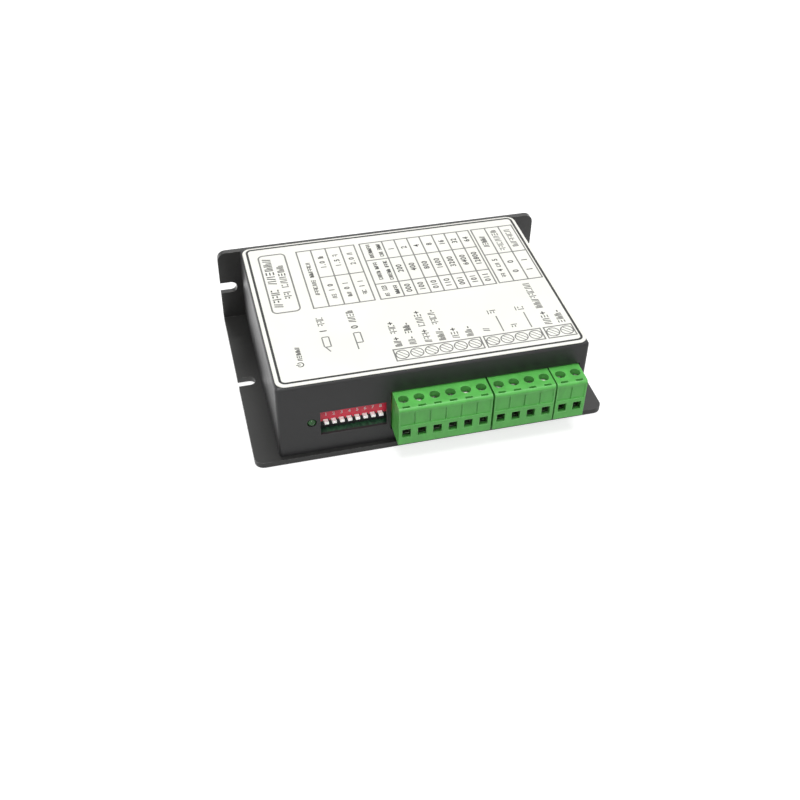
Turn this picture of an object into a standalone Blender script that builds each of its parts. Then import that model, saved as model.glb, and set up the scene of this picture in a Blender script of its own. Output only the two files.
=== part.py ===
"""Stepper driver module.

A flat-pack motor drive: an L-shaped black bracket (base plate and upright heat
spreader in one piece) carries a circuit board under a bent sheet-metal cover.
Through the front of the cover come a power lamp, an eight-way right-angle
setting switch and three pluggable screw terminals.

Frame: +X runs along the row of terminals, +Y to the upright at the back, +Z up.
The origin is the centre of the base plate's underside. Lengths are in
millimetres, which MM converts to metres; angles are in degrees.
"""

import math

import bmesh
import bpy
from mathutils import Matrix, Vector

MM = 0.001

# ---------------------------------------------------------- shared dimensions
GAP = 0.1                # gap between touching pieces
SEAT = 0.05              # gap under a piece that rests on another
OVER = 1.0               # how far a cutter runs past the surface it opens
NEAR = 0.01              # tolerance when picking edges and faces by place
SIDES = (("left", -1), ("right", 1))

PLATE_W = 118.0          # overall width over the mounting ears
PLATE_D = 80.5           # overall depth of the bracket
SHEET = 2.0              # bracket thickness
Y_FRONT = -PLATE_D / 2   # front edge of the base plate
Y_BACK = PLATE_D / 2     # outer face of the upright
Y_WALL = Y_BACK - SHEET  # inner face of the upright

COVER_FRONT = -38.75     # outer face of the cover's front wall
COVER_TOP = 30.5
COVER_SCREW_X, COVER_SCREW_Y = 46.3, 4.0
COVER_SCREWS = tuple((sign * COVER_SCREW_X, COVER_SCREW_Y) for _, sign in SIDES)

BOARD_LOW = 7.0
BOARD_TOP = BOARD_LOW + 1.6
POSTS = ((-45.0, -27.0), (45.0, -19.0), (-45.0, 31.0), (45.0, 31.0))

LEAD_PITCH = 2.54        # of the lamp, switch, driver chip and optocouplers
LED_X, LED_Z, LED_R = -40.15, 14.7, 1.45

PITCH = 5.08             # terminal pitch
BLOCKS = (               # name, first edge in X, number of poles
    ("6p", -14.2, 6),
    ("4p", 16.98, 4),
    ("2p", 37.85, 2),
)
ROW_LEFT = BLOCKS[0][1]
ROW_RIGHT = BLOCKS[-1][1] + BLOCKS[-1][2] * PITCH
PLUG_LOW, PLUG_HIGH = 7.0, 22.1

CHIP_LOW, CHIP_HIGH = 12.0, 27.5
CHIP_SCREW_X = 16.6
CHIP_SCREW_Z = (CHIP_LOW + CHIP_HIGH) / 2

# ---------------------------------------------------------------- clean scene
for old in list(bpy.data.objects):
    bpy.data.objects.remove(old, do_unlink=True)
for old in list(bpy.data.collections):
    bpy.data.collections.remove(old)

PARTS = bpy.data.collections.new("stepper_driver_module")
CUTTERS = bpy.data.collections.new("cutters")
bpy.context.scene.collection.children.link(PARTS)
bpy.context.scene.collection.children.link(CUTTERS)

# ------------------------------------------------------------------ materials
FINISHES = {  # name: (base colour, roughness, metallic)
    "bracket": ((0.022, 0.022, 0.024), 0.42, 0.6),
    "cover": ((0.030, 0.030, 0.032), 0.45, 0.4),
    "label": ((0.90, 0.90, 0.86), 0.45, 0.0),
    "board": ((0.010, 0.090, 0.045), 0.45, 0.0),
    "lamp": ((0.02, 0.16, 0.03), 0.20, 0.0),
    "red_plastic": ((0.48, 0.02, 0.03), 0.40, 0.0),
    "black_plastic": ((0.012, 0.012, 0.013), 0.50, 0.0),
    "white_plastic": ((0.85, 0.83, 0.78), 0.40, 0.0),
    "green_plastic": ((0.055, 0.33, 0.055), 0.42, 0.0),
    "plated_steel": ((0.62, 0.62, 0.60), 0.30, 1.0),
    "zinc_screw": ((0.55, 0.55, 0.56), 0.32, 1.0),
    "black_screw": ((0.03, 0.03, 0.03), 0.35, 0.9),
    "thermal_pad": ((0.35, 0.36, 0.40), 0.85, 0.0),
    "capacitor_sleeve": ((0.015, 0.02, 0.06), 0.35, 0.0),
    "brass_post": ((0.60, 0.45, 0.20), 0.35, 1.0),
}


def paint(part, finish):
    """Give a part its own material in one of the finishes."""
    colour, roughness, metallic = FINISHES[finish]
    mat = bpy.data.materials.new(part.name + "_" + finish)
    mat.use_nodes = True
    shader = mat.node_tree.nodes["Principled BSDF"]
    shader.inputs["Base Color"].default_value = (*colour, 1.0)
    shader.inputs["Roughness"].default_value = roughness
    shader.inputs["Metallic"].default_value = metallic
    mat.diffuse_color = (*colour, 1.0)
    part.data.materials.append(mat)


# -------------------------------------------------------------- places, points
def around(centre, half):
    """The two ends of a span centred on a coordinate."""
    return centre - half, centre + half


def beside(centre, sign, near, far):
    """The two ends, low first, of a span on one side of a coordinate."""
    return sorted((centre + sign * near, centre + sign * far))


def row(centre, pitch, count):
    """Evenly spaced coordinates centred on one."""
    return [centre + pitch * (i - (count - 1) / 2) for i in range(count)]


def arc(centre_a, centre_b, radius, start, end, steps):
    """Points on a circle, from one angle to another."""
    angles = [math.radians(start + (end - start) * i / steps) for i in range(steps + 1)]
    return [
        (centre_a + radius * math.cos(t), centre_b + radius * math.sin(t)) for t in angles
    ]


# --------------------------------------------------------------------- shapes
def add_box(shape, x0, x1, y0, y1, z0, z1):
    size = Vector((x1 - x0, y1 - y0, z1 - z0)) * MM
    middle = Vector((x1 + x0, y1 + y0, z1 + z0)) * (MM / 2)
    matrix = Matrix.Translation(middle) @ Matrix.Diagonal((*size, 1.0))
    bmesh.ops.create_cube(shape, size=1.0, matrix=matrix)


def boxes(*bounds):
    """A shape of boxes, each given as (x0, x1, y0, y1, z0, z1)."""
    shape = bmesh.new()
    for bound in bounds:
        add_box(shape, *bound)
    return shape


TURN = {"Z": Matrix.Identity(4), "Y": Matrix.Rotation(math.radians(-90), 4, "X")}


def add_cylinder(shape, centre, low, high, radius, sides, axis="Z", high_radius=None):
    """A cylinder or cone along an axis, between two coordinates on that axis."""
    middle = list(centre)
    middle["XYZ".index(axis)] = (low + high) / 2
    bmesh.ops.create_cone(
        shape,
        cap_ends=True,
        segments=sides,
        radius1=radius * MM,
        radius2=(radius if high_radius is None else high_radius) * MM,
        depth=(high - low) * MM,
        matrix=Matrix.Translation(Vector(middle) * MM) @ TURN[axis],
    )


def cylinders(centres, *args, **options):
    """A shape of equal cylinders; the rest is passed to add_cylinder."""
    shape = bmesh.new()
    for centre in centres:
        add_cylinder(shape, centre, *args, **options)
    return shape


def prism(points, x0, x1):
    """A (y, z) outline, filled as a 2D curve and thickened between two X places."""
    curve = bpy.data.curves.new("outline", "CURVE")
    curve.dimensions = "2D"
    curve.fill_mode = "BOTH"
    curve.extrude = (x1 - x0) / 2 * MM
    line = curve.splines.new("POLY")
    line.points.add(len(points) - 1)
    for point, (y, z) in zip(line.points, points):
        point.co = (y * MM, z * MM, 0.0, 1.0)
    line.use_cyclic_u = True
    holder = bpy.data.objects.new("outline", curve)
    bpy.context.scene.collection.objects.link(holder)
    graph = bpy.context.evaluated_depsgraph_get()
    mesh = bpy.data.meshes.new_from_object(holder.evaluated_get(graph))
    bpy.data.objects.remove(holder, do_unlink=True)
    bpy.data.curves.remove(curve)
    shape = bmesh.new()
    shape.from_mesh(mesh)
    bpy.data.meshes.remove(mesh)
    bmesh.ops.remove_doubles(shape, verts=shape.verts, dist=0.00001)
    # the curve's x, y, z become world Y, Z, X
    middle = (x0 + x1) / 2 * MM
    turn = Matrix(((0, 0, 1, middle), (1, 0, 0, 0), (0, 1, 0, 0), (0, 0, 0, 1)))
    bmesh.ops.transform(shape, matrix=turn, verts=shape.verts)
    bmesh.ops.dissolve_limit(
        shape, angle_limit=math.radians(0.5), verts=shape.verts, edges=shape.edges
    )
    return shape


def bevel_edges(shape, want, width, segments):
    """Round the edges for which want(end_a, end_b), in millimetres, is true."""
    picked = [e for e in shape.edges if want(e.verts[0].co / MM, e.verts[1].co / MM)]
    bmesh.ops.bevel(
        shape,
        geom=picked,
        offset=width * MM,
        offset_type="OFFSET",
        segments=segments,
        profile=0.5,
        affect="EDGES",
        clamp_overlap=True,
    )


def along(axis):
    """An edge test: does it run along the axis?"""
    index = "XYZ".index(axis)

    def test(a, b):
        step = b - a
        others = [abs(step[k]) for k in range(3) if k != index]
        return abs(step[index]) > 1e-4 and max(others) < 1e-4

    return test


def top_rim(z):
    """An edge test: does it lie at the top height z?"""
    return lambda a, b: min(a.z, b.z) > z - NEAR


# -------------------------------------------------------------------- objects
def new_object(name, shape, collection, origin):
    mesh = bpy.data.meshes.new(name)
    shape.to_mesh(mesh)
    shape.free()
    part = bpy.data.objects.new(name, mesh)
    part.location = Vector(origin) * MM
    collection.objects.link(part)
    return part


def solid(name, shape, collection, origin=(0, 0, 0)):
    """An object from a closed or sheet shape that is given in world places."""
    bmesh.ops.translate(shape, verts=shape.verts, vec=-Vector(origin) * MM)
    bmesh.ops.recalc_face_normals(shape, faces=shape.faces)
    return new_object(name, shape, collection, origin)


def piece(name, shape, finish, origin=(0, 0, 0)):
    part = solid(name, shape, PARTS, origin)
    paint(part, finish)
    return part


def turned(name, profile, finish, centre, sides, to_front=False):
    """A turned piece: (radius, height) points from top to bottom, with a Screw modifier.

    Heights are measured from centre, up or, with to_front, towards -Y.
    """
    shape = bmesh.new()
    verts = [shape.verts.new((radius * MM, 0.0, height * MM)) for radius, height in profile]
    for pair in zip(verts, verts[1:]):
        shape.edges.new(pair)
    part = new_object(name, shape, PARTS, centre)
    if to_front:
        part.rotation_euler = (math.radians(90), 0.0, 0.0)
    paint(part, finish)
    mod = part.modifiers.new("turn", "SCREW")
    mod.axis = "Z"
    mod.angle = math.radians(360)
    mod.steps = sides
    mod.render_steps = sides
    mod.screw_offset = 0.0
    mod.use_merge_vertices = True
    mod.merge_threshold = 0.000005
    mod.use_smooth_shade = True
    return part


def boolean(part, tag, shape, operation):
    """Combine a part with a tool, which stays in its own collection."""
    tool = solid(f"{part.name}_{tag}_{len(part.modifiers)}", shape, CUTTERS)
    tool.hide_render = True
    tool.display_type = "WIRE"
    mod = part.modifiers.new(tag, "BOOLEAN")
    mod.operation = operation
    mod.solver = "EXACT"
    mod.object = tool


def cut(part, tag, shape):
    boolean(part, tag, shape, "DIFFERENCE")


def join(part, tag, shape):
    boolean(part, tag, shape, "UNION")


# -------------------------------------------------------------------- bracket
UPRIGHT_H = 30.0         # height of the upright above the underside
CORNER_R = 3.0           # corner radius of the ears
BEND_R = 1.8             # outer radius of the fold
SLOT_W = 4.3             # open mounting slots
SLOT_END = 53.0          # the slots reach in to this distance from the middle
SLOT_Y = 0.6             # slot centre on the base plate
SLOT_Z = 15.2            # slot centre on the upright
SCREW_CLEARANCE_R = 1.7
SINK_LOW, SINK_HIGH, SINK_LOW_R, SINK_HIGH_R = -0.5, 1.35, 3.45, 1.6
CHIP_HOLE_R = 1.6
CHIP_HOLE_SKIN = 0.4     # left between the blind chip holes and the outer face


def base_bracket():
    outline = [
        (Y_FRONT, 0.0),
        *arc(Y_BACK - BEND_R, BEND_R, BEND_R, -90, 0, 6),
        (Y_BACK, UPRIGHT_H),
        (Y_WALL, UPRIGHT_H),
        (Y_WALL, SHEET),
        (Y_FRONT, SHEET),
    ]
    shape = prism(outline, -PLATE_W / 2, PLATE_W / 2)

    def front_corner(a, b):
        return along("Z")(a, b) and a.y < Y_FRONT + NEAR and abs(a.x) > PLATE_W / 2 - 1

    def top_corner(a, b):
        return along("Y")(a, b) and a.z > UPRIGHT_H - NEAR and abs(a.x) > PLATE_W / 2 - 1

    bevel_edges(shape, front_corner, CORNER_R, 6)
    bevel_edges(shape, top_corner, CORNER_R, 6)
    bracket = piece("base_bracket", shape, "bracket")

    plate_cut = (-OVER, SHEET + OVER)
    wall_cut = (Y_WALL - OVER, Y_BACK + OVER)
    end_x = SLOT_END + SLOT_W / 2
    slots = bmesh.new()
    slot_ends = bmesh.new()
    for _, sign in SIDES:
        x_span = beside(0, sign, end_x, PLATE_W / 2 + 3)
        add_box(slots, *x_span, *around(SLOT_Y, SLOT_W / 2), *plate_cut)
        add_box(slots, *x_span, *wall_cut, *around(SLOT_Z, SLOT_W / 2))
        add_cylinder(slot_ends, (sign * end_x, SLOT_Y, 0), *plate_cut, SLOT_W / 2, 24)
        add_cylinder(slot_ends, (sign * end_x, 0, SLOT_Z), *wall_cut, SLOT_W / 2, 24, "Y")
    cut(bracket, "slots", slots)
    cut(bracket, "slot_ends", slot_ends)

    centres = [(x, y, 0) for x, y in POSTS + COVER_SCREWS]
    cut(bracket, "holes", cylinders(centres, *plate_cut, SCREW_CLEARANCE_R, 16))
    centres = [(x, y, 0) for x, y in COVER_SCREWS]
    sinks = cylinders(
        centres, SINK_LOW, SINK_HIGH, SINK_LOW_R, 24, high_radius=SINK_HIGH_R
    )
    cut(bracket, "countersinks", sinks)
    centres = [(sign * CHIP_SCREW_X, 0, CHIP_SCREW_Z) for _, sign in SIDES]
    holes = cylinders(
        centres, Y_WALL - OVER, Y_BACK - CHIP_HOLE_SKIN, CHIP_HOLE_R, 12, axis="Y"
    )
    cut(bracket, "chip_holes", holes)


# ------------------------------------------------------------ cover and label
COVER_HALF_W = 102.0 / 2
COVER_LOW = SHEET + GAP
COVER_BACK = Y_WALL - GAP
COVER_T = 1.0            # cover sheet
COVER_BEND = 1.2         # outer bend radius
TAB_REACH = 3.6          # the screw tabs reach in past the screw by this
TAB_HALF_D = 5.0
TAB_TOP = 3.3
TAB_HOLE_R = 1.6
SWITCH_WINDOW_X = (-37.4, -15.9)
SWITCH_WINDOW_Z = (9.0, 18.5)
PLUG_WINDOW_GAP = 0.5

LABEL_X, LABEL_Y = (-50.35, 50.6), (-38.35, 37.85)
LABEL_T = 0.2
LABEL_R = 3.0


def cover_part():
    """A box open below and behind, given its thickness by a Solidify modifier."""
    shape = boxes(
        (-COVER_HALF_W, COVER_HALF_W, COVER_FRONT, COVER_BACK, COVER_LOW, COVER_TOP)
    )
    middles = [(face, face.calc_center_median() / MM) for face in shape.faces]
    gone = [
        face for face, mid in middles if mid.z < COVER_LOW + NEAR or mid.y > COVER_BACK - NEAR
    ]
    bmesh.ops.delete(shape, geom=gone, context="FACES")

    def bend(a, b):
        return max(a.z, b.z) > COVER_LOW + NEAR and min(a.y, b.y) < COVER_BACK - NEAR

    bevel_edges(shape, bend, COVER_BEND, 4)
    cover = piece("cover", shape, "cover")
    sheet = cover.modifiers.new("sheet", "SOLIDIFY")
    sheet.thickness = COVER_T * MM
    sheet.offset = -1.0
    sheet.use_even_offset = True
    sheet.use_quality_normals = True

    tabs = [
        (
            *beside(0, sign, COVER_SCREW_X - TAB_REACH, COVER_HALF_W - 0.4),
            *around(COVER_SCREW_Y, TAB_HALF_D),
            COVER_LOW + 0.02,
            TAB_TOP,
        )
        for _, sign in SIDES
    ]
    join(cover, "tabs", boxes(*tabs))

    wall_cut = (COVER_FRONT - OVER, COVER_FRONT + COVER_T + OVER)
    openings = cylinders([(x, y, 0) for x, y in COVER_SCREWS], 1.0, 4.5, TAB_HOLE_R, 16)
    add_cylinder(openings, (LED_X, 0, LED_Z), *wall_cut, LED_R + 0.1, 24, "Y")
    add_box(openings, *SWITCH_WINDOW_X, *wall_cut, *SWITCH_WINDOW_Z)
    add_box(
        openings,
        ROW_LEFT - PLUG_WINDOW_GAP, ROW_RIGHT + PLUG_WINDOW_GAP,
        *wall_cut,
        PLUG_LOW - PLUG_WINDOW_GAP, PLUG_HIGH + PLUG_WINDOW_GAP,
    )
    cut(cover, "openings", openings)


def top_label():
    low = COVER_TOP + SEAT
    shape = boxes((*LABEL_X, *LABEL_Y, low, low + LABEL_T))
    bevel_edges(shape, along("Z"), LABEL_R, 6)
    piece("top_label", shape, "label")


# ---------------------------------------------------- circuit board and posts
BOARD_HALF_W = 48.5
BOARD_FRONT, BOARD_BACK = -37.6, 36.8
BOARD_CORNER_R = 1.0
POST_HOLE_R = 1.6
SETBACK_Y = -35.5        # board edge behind the plugs
SETBACK_GAP = 0.6
POST_FIT = 0.06          # gap between a post's shoulders and the sheets
POST_PROFILE = (         # radius, height
    (0.0, 9.5), (1.7, 9.5), (2.1, 9.1), (2.1, BOARD_TOP + POST_FIT),
    (1.4, BOARD_TOP + POST_FIT), (1.4, BOARD_LOW - POST_FIT),
    (2.8, BOARD_LOW - POST_FIT), (2.8, SHEET + POST_FIT),
    (1.5, SHEET + POST_FIT), (1.5, 0.2), (0.0, 0.2),
)


def circuit_board():
    shape = boxes(
        (-BOARD_HALF_W, BOARD_HALF_W, BOARD_FRONT, BOARD_BACK, BOARD_LOW, BOARD_TOP)
    )
    bevel_edges(shape, along("Z"), BOARD_CORNER_R, 2)
    board = piece("circuit_board", shape, "board")
    z_cut = (BOARD_LOW - OVER, BOARD_TOP + OVER)
    cut(board, "post_holes", cylinders([(x, y, 0) for x, y in POSTS], *z_cut, POST_HOLE_R, 12))
    # set back behind the plugs, which reach down as low as the board
    x_span = (ROW_LEFT - SETBACK_GAP, ROW_RIGHT + SETBACK_GAP)
    cut(board, "setback", boxes((*x_span, BOARD_FRONT - OVER, SETBACK_Y, *z_cut)))


def board_posts():
    for i, (x, y) in enumerate(POSTS, 1):
        turned(f"board_post_{i}", POST_PROFILE, "brass_post", (x, y, 0), 12)


# ------------------------------------------------------------------ power lamp
LED_OUT = 0.55           # how far the dome stands out of its hole
LED_Y = COVER_FRONT + LED_R - LED_OUT  # centre of the dome
LED_FLANGE_R = 1.9
LED_FLANGE, LED_BACK = 2.6, 3.6        # flange front and back, behind the centre
LED_LEAD_Y = LED_Y + 3.2               # front end of the leads


def power_led():
    dome = [(radius, height) for height, radius in arc(0, 0, LED_R, 0, 90, 6)]
    flange = [
        (LED_R, -LED_FLANGE), (LED_FLANGE_R, -LED_FLANGE),
        (LED_FLANGE_R, -LED_BACK), (0.0, -LED_BACK),
    ]
    lamp = turned(
        "power_led", dome + flange, "lamp", (LED_X, LED_Y, LED_Z), 20, to_front=True
    )
    # each lead runs back, then down to the board
    for x in row(LED_X, LEAD_PITCH, 2):
        back = (*around(x, 0.25), LED_LEAD_Y, LED_LEAD_Y + 2.0, *around(LED_Z, 0.25))
        join(lamp, "lead", boxes(back))
        down_y = (LED_LEAD_Y + 1.45, LED_LEAD_Y + 1.95)
        down = (*around(x, 0.24), *down_y, BOARD_TOP + SEAT, LED_Z + 0.1)
        join(lamp, "lead", boxes(down))


# ----------------------------------------------------------- eight-way switch
DIP_X, DIP_W = -26.15, 21.8
DIP_FRONT = -35.3
DIP_BACK = DIP_FRONT + 8.4
DIP_SPLIT = 11.45        # height where the red cap meets the black base
DIP_TOP = 16.8
DIP_WALL = 0.8
DIP_PIVOT_Y, DIP_PIVOT_Z = -33.0, 11.0
DIP_REST_TILT = 8.0      # above level at rest; the throw is 20 down
NOTCH_HALF_W, NOTCH_DEPTH = 0.95, 1.4
NOTCH_LOW, NOTCH_HIGH = 9.75, 12.2
LEVER_HALF_W = 0.7
LEVER_OUTLINE = (        # y, z from the pivot, before tilting
    *arc(0, 0, 1.15, -150, 150, 8),
    (-3.55, 0.52), (-3.75, 0.32), (-3.75, -0.32), (-3.55, -0.52),
)
LEVER_X = row(DIP_X, LEAD_PITCH, 8)


def hollow_and_notch(part, hollow_z, notch_z):
    """Empty half of the switch body and open its front for the levers."""
    inside = (
        *around(DIP_X, DIP_W / 2 - DIP_WALL), DIP_FRONT + DIP_WALL, DIP_BACK - DIP_WALL
    )
    cut(part, "hollow", boxes((*inside, *hollow_z)))
    y_span = (DIP_FRONT - OVER, DIP_FRONT + NOTCH_DEPTH)
    notches = [(*around(x, NOTCH_HALF_W), *y_span, *notch_z) for x in LEVER_X]
    cut(part, "notches", boxes(*notches))


def dip_base():
    low = BOARD_TOP + SEAT
    shape = boxes(
        (*around(DIP_X, DIP_W / 2), DIP_FRONT, DIP_BACK, low, DIP_SPLIT - SEAT)
    )
    base = piece("dip_base", shape, "black_plastic")
    high = DIP_SPLIT + OVER
    hollow_and_notch(base, (low + DIP_WALL, high), (NOTCH_LOW, high))


def dip_cover():
    shape = boxes(
        (*around(DIP_X, DIP_W / 2), DIP_FRONT, DIP_BACK, DIP_SPLIT + SEAT, DIP_TOP)
    )
    bevel_edges(shape, top_rim(DIP_TOP), 0.3, 2)
    cap = piece("dip_cover", shape, "red_plastic")
    low = DIP_SPLIT - OVER
    hollow_and_notch(cap, (low, DIP_TOP - DIP_WALL), (low, NOTCH_HIGH))


def dip_levers():
    # the lever points to -Y, so a negative turn lifts its tip
    turn = math.radians(-DIP_REST_TILT)
    cos, sin = math.cos(turn), math.sin(turn)
    outline = [
        (y * cos - z * sin + DIP_PIVOT_Y, y * sin + z * cos + DIP_PIVOT_Z)
        for y, z in LEVER_OUTLINE
    ]
    for i, x in enumerate(LEVER_X, 1):
        shape = prism(outline, *around(x, LEVER_HALF_W))
        piece(f"dip_lever_{i}", shape, "white_plastic", (x, DIP_PIVOT_Y, DIP_PIVOT_Z))


# ------------------------------------------------ headers, plugs and their clamps
PLUG_FRONT = -47.25
PLUG_SHOULDER = -36.1    # back of the thick part of the plug
PLUG_NOSE = -28.6        # back end of the plug's tongue
TONGUE_LOW, TONGUE_HIGH = 10.2, 15.6
TONGUE_INSET = 1.0       # the tongue is narrower than the housing
PANEL_INSET, PANEL_DEPTH, PANEL_Z = 0.45, 0.35, (15.0, 20.7)
GROOVE_HALF_W, GROOVE_DEPTH, GROOVE_Z = 0.28, 0.75, (14.99, 19.9)
SCREW_Y = -42.35         # axis of the clamp screws
SCREW_HOLE_R = 1.72
NECK_R = 1.38            # narrow hole between screw hole and chamber
SCREW_HEAD_R = 1.52
SCREW_HEAD_TOP, SCREW_HEAD_LOW = 20.3, 18.6
SCREW_SHANK_R = 1.25
SCREW_SHANK_LOW = 13.2
HEAD_H = SCREW_HEAD_TOP - SCREW_HEAD_LOW
SHANK_END = SCREW_SHANK_LOW - SCREW_HEAD_LOW
SCREW_PROFILE = (        # radius, height from the underside of the head
    (0.0, HEAD_H), (SCREW_HEAD_R - 0.25, HEAD_H), (SCREW_HEAD_R, HEAD_H - 0.25),
    (SCREW_HEAD_R, 0.0), (SCREW_SHANK_R, 0.0), (SCREW_SHANK_R, SHANK_END + 0.3),
    (SCREW_SHANK_R - 0.3, SHANK_END), (0.0, SHANK_END),
)
DRIVE_SLOT_HALF_W, DRIVE_SLOT_DEPTH = 0.32, 0.75
CHAMBER_LOW, CHAMBER_HIGH = 8.7, 18.3
CAGE_W, CAGE_D, CAGE_H, CAGE_WALL = 4.0, 4.6, 6.4, 0.6
CAGE_ROOF = 0.9
CAGE_HOLE_R = 1.36
CAGE_LOW = 9.0           # cage fully open; it climbs 2.6 as the screw turns in
CAGE_TOP = CAGE_LOW + CAGE_H
CAGE_FRONT, CAGE_BACK = around(SCREW_Y, CAGE_D / 2)
ENTRY_W, ENTRY_H, ENTRY_Z = 2.8, 3.4, 11.9
ENTRY_WALL = 0.65        # front wall round the wire entries
THROAT_HALF_W = 1.8      # the wider passage behind that wall
TEST_SLOT_Y, TEST_SLOT_LOW = -46.15, 20.9
TEST_SLOT_HALF_W, TEST_SLOT_HALF_D = 1.25, 0.42
HEADER_FRONT, HEADER_BACK = -35.6, -23.6
HEADER_LOW, HEADER_HIGH = BOARD_TOP + SEAT, 17.2
HEADER_WALL = 0.7
SOCKET_GAP_Z, SOCKET_GAP_Y = 0.45, 0.6  # room round the tongue in the header
PIN = 1.0                # square contact pins
PIN_Z = (TONGUE_LOW + TONGUE_HIGH) / 2
PIN_FRONT, PIN_BACK = PLUG_NOSE - 5.6, PLUG_NOSE + 1.6
PIN_SOCKET_FRONT, PIN_SOCKET_HALF = -35.9, 1.0


def header(tag, x0, x1, pole_x):
    """Open-fronted shroud on the board with one pin per pole."""
    shape = boxes((x0, x1, HEADER_FRONT, HEADER_BACK, HEADER_LOW, HEADER_HIGH))
    part = piece(f"header_{tag}", shape, "green_plastic")
    socket = (
        x0 + HEADER_WALL, x1 - HEADER_WALL,
        HEADER_FRONT - OVER, PLUG_NOSE + SOCKET_GAP_Y,
        TONGUE_LOW - SOCKET_GAP_Z, TONGUE_HIGH + SOCKET_GAP_Z,
    )
    cut(part, "socket", boxes(socket))
    pins = [
        (*around(x, PIN / 2), PIN_FRONT, PIN_BACK, *around(PIN_Z, PIN / 2)) for x in pole_x
    ]
    join(part, "pins", boxes(*pins))


def plug(tag, x0, x1, pole_x):
    """Thick clamp housing with a tongue that enters the header."""
    outline = [
        (PLUG_FRONT, PLUG_LOW + 0.4), (PLUG_FRONT + 0.4, PLUG_LOW),
        (PLUG_SHOULDER, PLUG_LOW), (PLUG_SHOULDER, TONGUE_LOW),
        (PLUG_NOSE - 0.5, TONGUE_LOW), (PLUG_NOSE, TONGUE_LOW + 0.5),
        (PLUG_NOSE, TONGUE_HIGH - 0.5), (PLUG_NOSE - 0.5, TONGUE_HIGH),
        (PLUG_SHOULDER, TONGUE_HIGH), (PLUG_SHOULDER, PLUG_HIGH),
        *arc(PLUG_FRONT + 1.0, PLUG_HIGH - 1.0, 1.0, 90, 180, 4),
    ]
    part = piece(f"plug_{tag}", prism(outline, x0, x1), "green_plastic")

    beside_tongue = (
        PLUG_SHOULDER, PLUG_NOSE + OVER, TONGUE_LOW - OVER, TONGUE_HIGH + OVER
    )
    sides = boxes(
        (x0 - OVER, x0 + TONGUE_INSET, *beside_tongue),
        (x1 - TONGUE_INSET, x1 + OVER, *beside_tongue),
    )
    cut(part, "tongue_sides", sides)

    # shallow panel across the upper front, then grooves between the poles
    ahead = PLUG_FRONT - OVER
    panel_x = (x0 + PANEL_INSET, x1 - PANEL_INSET)
    cut(part, "panel", boxes((*panel_x, ahead, PLUG_FRONT + PANEL_DEPTH, *PANEL_Z)))
    grooves = [
        (*around(x0 + PITCH * k, GROOVE_HALF_W), ahead, PLUG_FRONT + GROOVE_DEPTH, *GROOVE_Z)
        for k in range(1, len(pole_x))
    ]
    cut(part, "grooves", boxes(*grooves))

    chambers = [
        (
            *around(x, CAGE_W / 2 + 0.2),
            CAGE_FRONT - 0.3, CAGE_BACK + 0.3, CHAMBER_LOW, CHAMBER_HIGH,
        )
        for x in pole_x
    ]
    cut(part, "chambers", boxes(*chambers))
    throats = [
        (
            *around(x, THROAT_HALF_W),
            PLUG_FRONT + ENTRY_WALL, CAGE_FRONT + 0.1,
            CHAMBER_LOW + 0.6, ENTRY_Z + ENTRY_H / 2 + 0.4,
        )
        for x in pole_x
    ]
    cut(part, "throats", boxes(*throats))

    # wire entries, screw holes, test slots and pin sockets
    entries = bmesh.new()
    above = PLUG_HIGH + OVER
    for x in pole_x:
        entry_z = around(ENTRY_Z, ENTRY_H / 2)
        add_box(entries, *around(x, ENTRY_W / 2), ahead, CAGE_FRONT + 0.2, *entry_z)
        add_cylinder(
            entries, (x, SCREW_Y, 0), SCREW_HEAD_LOW - 0.2, above, SCREW_HOLE_R, 20
        )
        slot_y = around(TEST_SLOT_Y, TEST_SLOT_HALF_D)
        add_box(entries, *around(x, TEST_SLOT_HALF_W), *slot_y, TEST_SLOT_LOW, above)
        socket_y = (PIN_SOCKET_FRONT, PLUG_NOSE + OVER)
        socket_z = around(PIN_Z, PIN_SOCKET_HALF)
        add_box(entries, *around(x, PIN_SOCKET_HALF), *socket_y, *socket_z)
    cut(part, "entries", entries)
    centres = [(x, SCREW_Y, 0) for x in pole_x]
    cut(part, "necks", cylinders(centres, CHAMBER_HIGH - OVER, SCREW_HEAD_LOW, NECK_R, 12))


def clamp_screw(number, x):
    """Captive clamp screw with a straight slot."""
    screw = turned(
        f"clamp_screw_{number}", SCREW_PROFILE, "plated_steel",
        (x, SCREW_Y, SCREW_HEAD_LOW), 16,
    )
    slot_z = (SCREW_HEAD_TOP - DRIVE_SLOT_DEPTH, SCREW_HEAD_TOP + OVER)
    slot = (*around(x, 2.5), *around(SCREW_Y, DRIVE_SLOT_HALF_W), *slot_z)
    cut(screw, "slot", boxes(slot))


def clamp_cage(number, x):
    """Rising cage that the screw pulls up against the wire."""
    shape = boxes((*around(x, CAGE_W / 2), CAGE_FRONT, CAGE_BACK, CAGE_LOW, CAGE_TOP))
    cage = piece(f"clamp_cage_{number}", shape, "plated_steel", (x, SCREW_Y, CAGE_LOW))
    window = (
        *around(x, CAGE_W / 2 - CAGE_WALL),
        CAGE_FRONT - OVER, CAGE_BACK + OVER,
        CAGE_LOW + CAGE_WALL, CAGE_TOP - CAGE_ROOF,
    )
    cut(cage, "window", boxes(window))
    thread = cylinders([(x, SCREW_Y, 0)], CAGE_TOP - 2, CAGE_TOP + OVER, CAGE_HOLE_R, 12)
    cut(cage, "thread", thread)


def terminals():
    number = 0
    for tag, x0, poles in BLOCKS:
        x1 = x0 + poles * PITCH
        pole_x = [x0 + PITCH * (k + 0.5) for k in range(poles)]
        header(tag, x0, x1, pole_x)
        plug(tag, x0, x1, pole_x)
        for x in pole_x:
            number += 1
            clamp_screw(number, x)
            clamp_cage(number, x)


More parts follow.
